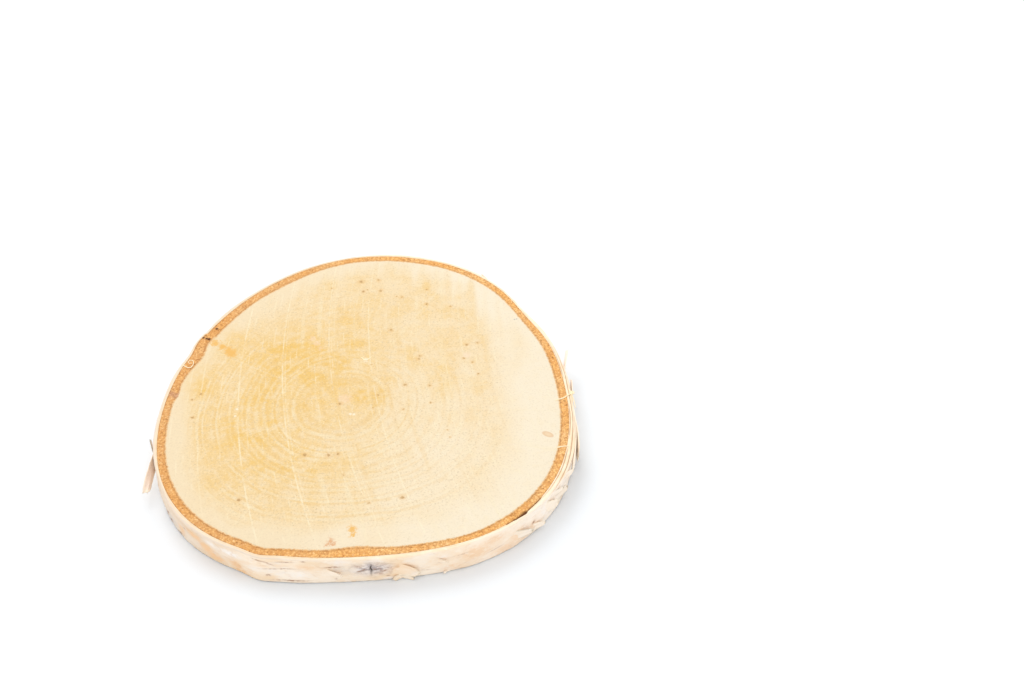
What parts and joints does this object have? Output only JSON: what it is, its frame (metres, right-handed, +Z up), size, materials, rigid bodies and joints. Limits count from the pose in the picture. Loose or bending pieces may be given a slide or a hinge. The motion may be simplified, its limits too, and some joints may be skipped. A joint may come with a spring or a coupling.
{
  "type": "birch wood slice",
  "caption": "Thin round slice sawn across a birch trunk: flat growth-ringed faces, an orange ring of inner bark and a pale papery rim with peeling strips.",
  "frame": {"origin": "middle of the slice's box, on the plane it lies on", "axes": "+Z up, along the trunk's axis; +Y along the slice's greatest width, away from the viewer of the picture; +X to that viewer's right"},
  "size_m": [0.11, 0.1162, 0.0085],
  "materials": {
    "sawn_wood": "raw, saw-marked",
    "inner_bark": "raw, granular",
    "outer_bark": "raw, papery"
  },
  "bodies": {
    "root": {"birch_slice": "sawn_wood"}
  },
  "joints": []
}
